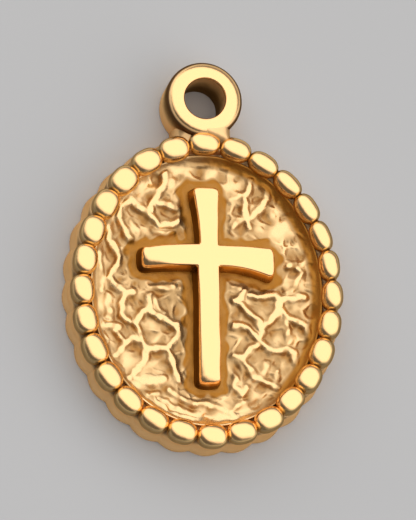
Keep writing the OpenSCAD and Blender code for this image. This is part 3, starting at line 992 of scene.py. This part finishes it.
def inside(x, y, outline):
    """Whether each place lies inside a closed outline: an odd number of its edges lie to the
    right of the place."""
    odd = np.zeros(x.shape, bool)
    for (ax, ay), (bx, by) in zip(outline, np.roll(outline, -1, axis=0)):
        if ay != by:
            odd ^= ((ay > y) != (by > y)) & (x < ax + (y - ay) * (bx - ax) / (by - ay))
    return odd


def rim_distance(x, y):
    """About how far each place lies inside the rim's inner wall."""
    a, b = oval_a - RIM_IN, oval_b - RIM_IN
    level = np.hypot(x / a, y / b)
    steepness = np.hypot(x / a**2, y / b**2) / np.maximum(level, 1e-6)
    return (1 - level) / np.maximum(steepness, 1 / b)


ground_x, ground_y = disc_grid(GROUND_COLUMNS, GROUND_ROWS)
to_cross = line_distance(ground_x, ground_y, np.vstack([cross_outline, cross_outline[:1]]))
to_cross[inside(ground_x, ground_y, cross_outline)] = 0
moat_line = np.vstack([cross_outline, cross_outline[:1]]) + MOAT_SHIFT
to_moat = line_distance(ground_x, ground_y, moat_line)
to_moat[inside(ground_x, ground_y, moat_line[:-1])] = 0
to_rim = rim_distance(ground_x, ground_y)
print(f"ground: {to_rim.size} places, up to {to_cross.max():.1f} mm from the cross")

# %% Veins, cells and bumps
VEIN_CREST = 0.04  # half width of a bold vein's crest
VEIN_FLANK = 0.23
VEIN_BEND = 0.035  # how far slow waves bend the charted lines
BEND_LENGTH = 0.7
SWELL_WIDE = 0.36  # how far from a vein the floor swells up to it
CELL_PITCH = 0.62
CELL_SEED = 41
CELL_BORDER = 0.5  # half width of a cell's ridge, as a share of the pitch
MOST_BUMP = 1.2  # where several bumps lie over each other


def vein_relief(x, y):
    """The highest vein over each place, 0 to 1, and the swell of the floor around it. A vein has
    a flat crest and an S-shaped flank on either side; the swell is exp(-(distance / width)^2)."""
    bent_x = x + VEIN_BEND * waves(x, y, BEND_LENGTH, 21)
    bent_y = y + VEIN_BEND * waves(x, y, BEND_LENGTH, 22)
    relief = np.zeros_like(x)
    swell = np.zeros_like(x)
    for bold, points in VEINS:
        away = line_distance(bent_x, bent_y, points)
        crest = VEIN_CREST * bold
        relief = np.maximum(relief, ramp(away, crest + VEIN_FLANK, crest, bold))
        swell = np.maximum(swell, bold * np.exp(-((away / SWELL_WIDE) ** 2)))
    return relief, swell


def cell_relief(x, y):
    """Ridges, 0 to 1, on the borders of random cells: where the two nearest of many scattered
    points are equally far away."""
    draw = np.random.default_rng(CELL_SEED)
    count = int(4 * oval_a * oval_b / CELL_PITCH**2)
    middles = draw.uniform(-1, 1, (count, 2)) * [oval_a, oval_b]
    first, second = np.full_like(x, np.inf), np.full_like(x, np.inf)
    for middle_x, middle_y in middles:
        away = np.hypot(x - middle_x, y - middle_y)
        second = np.minimum(second, np.maximum(first, away))
        first = np.minimum(first, away)
    return ramp(second - first, CELL_BORDER * CELL_PITCH, 0)


def bumps(x, y, rows):
    """Sum of soft round bumps, each exp(-(distance / radius)^2) high."""
    total = np.zeros_like(x)
    for middle_x, middle_y, radius in rows:
        total += np.exp(-((x - middle_x) ** 2 + (y - middle_y) ** 2) / radius**2)
    return np.minimum(total, MOST_BUMP)


veins, swell = vein_relief(ground_x, ground_y)
mounds = bumps(ground_x, ground_y, MOUNDS)
dips = bumps(ground_x, ground_y, DIPS)
# The random cells show only where no vein or mound is near.
cells = cell_relief(ground_x, ground_y) * (1 - swell) * (1 - np.minimum(mounds, 1))
print(f"{len(VEINS)} veins, {len(MOUNDS)} mounds and {len(DIPS)} dips are charted")

# %% Add up the height of the ground
FLOOR_Z = 1.08
SWELL_RISE = 0.15
VEIN_RISE = 0.09
CELL_RISE = 0.09
MOUND_RISE = 0.08
DIP_FALL = 0.055
BAND_Z = 1.15  # the hollow along the rim
BAND_EDGE = (0.05, 0.35)  # distances from the rim between which the hollow ends
MOAT_Z = 1.12  # the hollow round the cross
MOAT_EDGE = (0.3, 0.75)  # distances from the cross between which this hollow ends
FILLET_WIDE = 0.5  # how far from the rim the ground starts to curve up to it
FILLET_RISE = 0.35


def ground_waves(rise, length, seed):
    """Slow waves over the whole ground, up to about that rise."""
    return rise * waves(ground_x, ground_y, length, seed)


texture_z = FLOOR_Z + VEIN_RISE * veins + SWELL_RISE * swell + CELL_RISE * cells
texture_z += (MOUND_RISE * mounds - DIP_FALL * dips) * (1 - veins)
texture_z += ground_waves(0.012, 1.1, 31) + ground_waves(0.009, 0.35, 32)
fillet = FILLET_RISE * (1 - np.clip(to_rim / FILLET_WIDE, 0, 1)) ** 2
ground_z = blend(BAND_Z, texture_z, ramp(to_rim, *BAND_EDGE)) + fillet
moat_z = MOAT_Z + ground_waves(0.01, 0.6, 37)
ground_z = blend(moat_z, ground_z, ramp(to_cross, *MOAT_EDGE))
print(f"the ground is {ground_z.min():.2f} to {ground_z.max():.2f} mm high")

# %% [markdown]
# ## The ground's stain and painted shade
# The real pits are tan, the hollow round the cross is brown, and the tops of the veins were
# rubbed clean. Shade is painted in as well: on the upper right side of each pit, in the dips,
# along the hollows round the cross and along the rim, and less on the mounds and cell ridges.
# All this could be painted as an image, but an image is only as sharp as its pixels and has to
# be painted again when the shape changes. So the fields that shape the ground work out its
# stain and painted shade too, and the two always agree.

# %% Stain the pits and paint their shade
# The pits are painted darkest on their upper right side, under the veins, as shade.
FLOOR_STAIN = 0.55
RELIEF_SHADE = 0.3  # painted shade that a dip adds, and a mound or a cell's ridge takes off as painted light
SHADE_SHIFT = 0.08
BUFFED_VEIN = (0.45, 1.05, 0.95)  # vein reliefs between which stain is rubbed off, and its share
DEEPEST_PIT = 0.75

shaded = bumps(ground_x - SHADE_SHIFT, ground_y - SHADE_SHIFT, DIPS)
pit_recess = FLOOR_STAIN + ground_waves(0.08, 0.8, 33) + RELIEF_SHADE * (shaded - cells - mounds)
buffed_veins = ramp(veins + ground_waves(0.2, 0.45, 35), *BUFFED_VEIN)
pit_recess = np.clip(pit_recess * (1 - buffed_veins), 0, DEEPEST_PIT)

# %% Stain the hollow round the cross and paint its shade
MOAT_STAIN_AND_SHADE = (0.71, 0.36, 0.87)  # distances between which it sets in, and its depth
LIP_AT, LIP_WIDE = 0.42, 0.18  # the darkest line of painted shade, along the hollow's outer edge
# Painted shade on the ground at the foot of the cross.
CROSS_FOOT_SHADE = (0.27, 0.12)

from_moat = to_moat + ground_waves(0.09, 0.8, 34)
moat_floor = ramp(from_moat, *MOAT_STAIN_AND_SHADE)
moat_lip = (1 + ground_waves(0.12, 0.6, 36)) * np.exp(-(((from_moat - LIP_AT) / LIP_WIDE) ** 2))
cross_foot = ramp(to_cross, *CROSS_FOOT_SHADE)
ground_recess = np.maximum.reduce([pit_recess, moat_floor, moat_lip, cross_foot])

# %% Paint light and shade on the hollow along the rim
# At the bottom most of the stain and painted shade is taken off, as lit. On the right it lies in
# the shade of the beads, painted dark.
LIT_BOTTOM_Y = (-4.9, -5.5)
BOTTOM_BAND = (0.6, 0.3, 0.7)  # distances from the rim, and the share of the stain and painted shade that's taken off
SHADED_BAND = (0.7, 0.2)
SHADED_SIDE = (-0.25, 0.55)  # shares of the way to the right between which the shade sets in
SHADED_LEAN = 0.3  # how much the way upwards counts beside the way to the right

ground_recess *= 1 - ramp(ground_y, *LIT_BOTTOM_Y) * ramp(to_rim, *BOTTOM_BAND)
to_the_right = ground_x / oval_a + SHADED_LEAN * ground_y / oval_b
shaded_band = ramp(to_the_right, *SHADED_SIDE) * ramp(to_rim, *SHADED_BAND)
ground_recess = np.maximum(ground_recess, shaded_band)
print(f"the ground's stain is {ground_recess.mean():.2f} deep on average")


# %% Close the ground underneath
def closed_below(x, y, z, z_below):
    """The grid's points and faces, with a skirt round its border and a fan underneath, and how
    many points were added for them."""
    rows, columns = x.shape
    number = np.arange(rows * columns).reshape(rows, columns)
    quads = np.stack([number[:-1, :-1], number[:-1, 1:], number[1:, 1:], number[1:, :-1]], -1)
    border = np.concatenate([number[0, :-1], number[:-1, -1], number[-1, :0:-1], number[:0:-1, 0]])
    points = np.stack([x, y, z], -1).reshape(-1, 3)
    skirt = points[border] * [1, 1, 0] + [0, 0, z_below]
    lower = len(points) + np.arange(len(border))
    after, lower_after = np.roll(border, -1), np.roll(lower, -1)
    middle = np.full(len(border), len(points) + len(border))
    faces = quads.reshape(-1, 4).tolist()
    faces += np.stack([border, after, lower_after, lower], -1).tolist()
    faces += np.stack([lower, lower_after, middle], -1).tolist()
    points = np.concatenate([points, skirt, [[0, 0, z_below]]])
    return points, faces, len(border) + 1


GROUND_GAP = 0.02  # between the ground's underside and the seat

ground_points, ground_faces, added = closed_below(ground_x, ground_y, ground_z, SEAT_Z + GROUND_GAP)
point_recess = np.concatenate([ground_recess.ravel(), np.ones(added)])
add_piece("crackled_ground", ground_points, ground_faces, point_recess, SATIN)

# %% [markdown]
# ## Floor, light and camera
# The charm lies on a plain pale floor. Jewellery is lit by one very broad soft light, here high
# on the far side, so that flat gold mirrors it to the camera, and by dimmer surroundings. Slopes
# that face the camera's side mirror the dark there, which draws the relief.

# %% The floor
FLOOR_HALF = 1.5
FLOOR_GREY = (0.45, 0.45, 0.46, 1)


def add_floor():
    """A flat square of 3 metres, matt and pale. It is staging and no part of the charm."""
    mesh = bpy.data.meshes.new("floor")
    corners = [(-FLOOR_HALF, -FLOOR_HALF, 0), (FLOOR_HALF, -FLOOR_HALF, 0)]
    corners += [(FLOOR_HALF, FLOOR_HALF, 0), (-FLOOR_HALF, FLOOR_HALF, 0)]
    mesh.from_pydata(corners, [], [(0, 1, 2, 3)])
    material = bpy.data.materials.new("pale floor")
    material.use_nodes = True
    shader = material.node_tree.nodes["Principled BSDF"]
    shader.inputs["Base Color"].default_value = FLOOR_GREY
    shader.inputs["Roughness"].default_value = 0.9
    mesh.materials.append(material)
    floor = bpy.data.objects.new("floor", mesh)
    bpy.context.scene.collection.objects.link(floor)


add_floor()
print(f"floor: {2 * FLOOR_HALF:.0f} m square")

# %% The soft light as the world around
CAMERA_TILT = math.radians(19)  # how far the camera looks off the charm's normal
CAMERA_SIDE = Vector((-0.643, -0.766, 0))  # the way it is tilted: to the picture's lower left
HORIZON = 0.28  # radiance of the rest of the sky
SKY_COLOUR = (1, 0.99, 0.97, 1)
PATCH_EDGE = {"From Min": 0.65, "From Max": 1.3}  # where a patch starts to fade and has gone
# Patches of the sky. Columns: radiance, middle away from the camera, half size in that
# direction, half size to either side. Lengths are tangents of half an angle from the zenith.
SHADE = (0.13, -0.62, 0.34, 0.7)
LIGHT = (1.5, 0.15, 0.465, 0.95)


def flattened_direction(tree):
    """Two sockets: a direction's parts away from the camera and sideways, each divided by one
    plus its height, so that the half sky above becomes a disc."""
    place = add_node(tree, "ShaderNodeTexCoord")
    parts = add_node(tree, "ShaderNodeSeparateXYZ")
    link(tree, place.outputs["Generated"], parts.inputs[0])
    lifted = add_node(tree, "ShaderNodeMath", operation="ADD", inputs={1: 1.0})
    link(tree, parts.outputs["Z"], lifted.inputs[0])
    away = -CAMERA_SIDE
    for way in ((away.x, away.y, 0), (away.y, -away.x, 0)):
        part = add_node(tree, "ShaderNodeVectorMath", operation="DOT_PRODUCT", inputs={1: way})
        link(tree, place.outputs["Generated"], part.inputs[0])
        flat = add_node(tree, "ShaderNodeMath", operation="DIVIDE")
        link(tree, part.outputs["Value"], flat.inputs[0])
        link(tree, lifted.outputs[0], flat.inputs[1])
        yield flat.outputs[0]


def sky_patch(tree, under, away, aside, patch):
    """Lays a soft-edged ellipse of the patch's radiance over the radiance socket or number
    `under`: the distance from its middle, in half sizes, blends from the one to the other."""
    radiance, middle, half_away, half_aside = patch
    centred = add_node(tree, "ShaderNodeMath", operation="SUBTRACT", inputs={1: middle})
    link(tree, away, centred.inputs[0])
    scaled = add_node(tree, "ShaderNodeMath", operation="DIVIDE", inputs={1: half_away})
    link(tree, centred.outputs[0], scaled.inputs[0])
    scaled_aside = add_node(tree, "ShaderNodeMath", operation="DIVIDE", inputs={1: half_aside})
    link(tree, aside, scaled_aside.inputs[0])
    both = add_node(tree, "ShaderNodeCombineXYZ")
    link(tree, scaled.outputs[0], both.inputs["X"])
    link(tree, scaled_aside.outputs[0], both.inputs["Y"])
    distance = add_node(tree, "ShaderNodeVectorMath", operation="LENGTH")
    link(tree, both.outputs[0], distance.inputs[0])
    edge = add_node(tree, "ShaderNodeMapRange", interpolation_type="SMOOTHSTEP", inputs=PATCH_EDGE)
    edge.inputs["To Min"].default_value = radiance
    link(tree, distance.outputs["Value"], edge.inputs["Value"])
    if isinstance(under, float):
        edge.inputs["To Max"].default_value = under
    else:
        link(tree, under, edge.inputs["To Max"])
    return edge.outputs["Result"]


def light_world():
    """A dim horizon, a dark patch behind the camera and the broad soft light opposite it."""
    world = bpy.data.worlds.new("soft light")
    bpy.context.scene.world = world
    world.use_nodes = True
    tree = world.node_tree
    background = tree.nodes["Background"]
    background.inputs["Color"].default_value = SKY_COLOUR
    away, aside = flattened_direction(tree)
    shaded = sky_patch(tree, HORIZON, away, aside, SHADE)
    lit = sky_patch(tree, shaded, away, aside, LIGHT)
    link(tree, lit, background.inputs["Strength"])


light_world()
print(f"light of {LIGHT[0]} and shade of {SHADE[0]} over a horizon of {HORIZON}")

# %% The camera
CAMERA_AIM = Vector((0.133, 1.439, 1.2)) * MM
CAMERA_AWAY = 190.5 * MM
PICTURE_HIGH = 130 / 1070  # the framed height as a share of the distance
SENSOR_HIGH = 36.0
NEAREST = 5 * MM


def add_camera():
    """A long lens that looks down at the aim, tilted off the charm's normal towards its side."""
    lens = bpy.data.cameras.new("camera")
    lens.sensor_fit = "VERTICAL"
    lens.sensor_height = SENSOR_HIGH
    lens.lens = lens.sensor_height / PICTURE_HIGH
    lens.clip_start = NEAREST
    camera = bpy.data.objects.new("camera", lens)
    bpy.context.scene.collection.objects.link(camera)
    axis = Vector((0, 0, 1)).cross(CAMERA_SIDE)
    look = Matrix.Rotation(CAMERA_TILT, 3, axis)
    place = Matrix.Translation(CAMERA_AIM + look @ Vector((0, 0, CAMERA_AWAY)))
    camera.matrix_world = place @ look.to_4x4()
    bpy.context.scene.camera = camera
    print(f"camera {CAMERA_AWAY / MM:.1f} mm away, with a lens of {lens.lens:.0f} mm")


add_camera()
bpy.context.scene.view_settings.view_transform = "Standard"
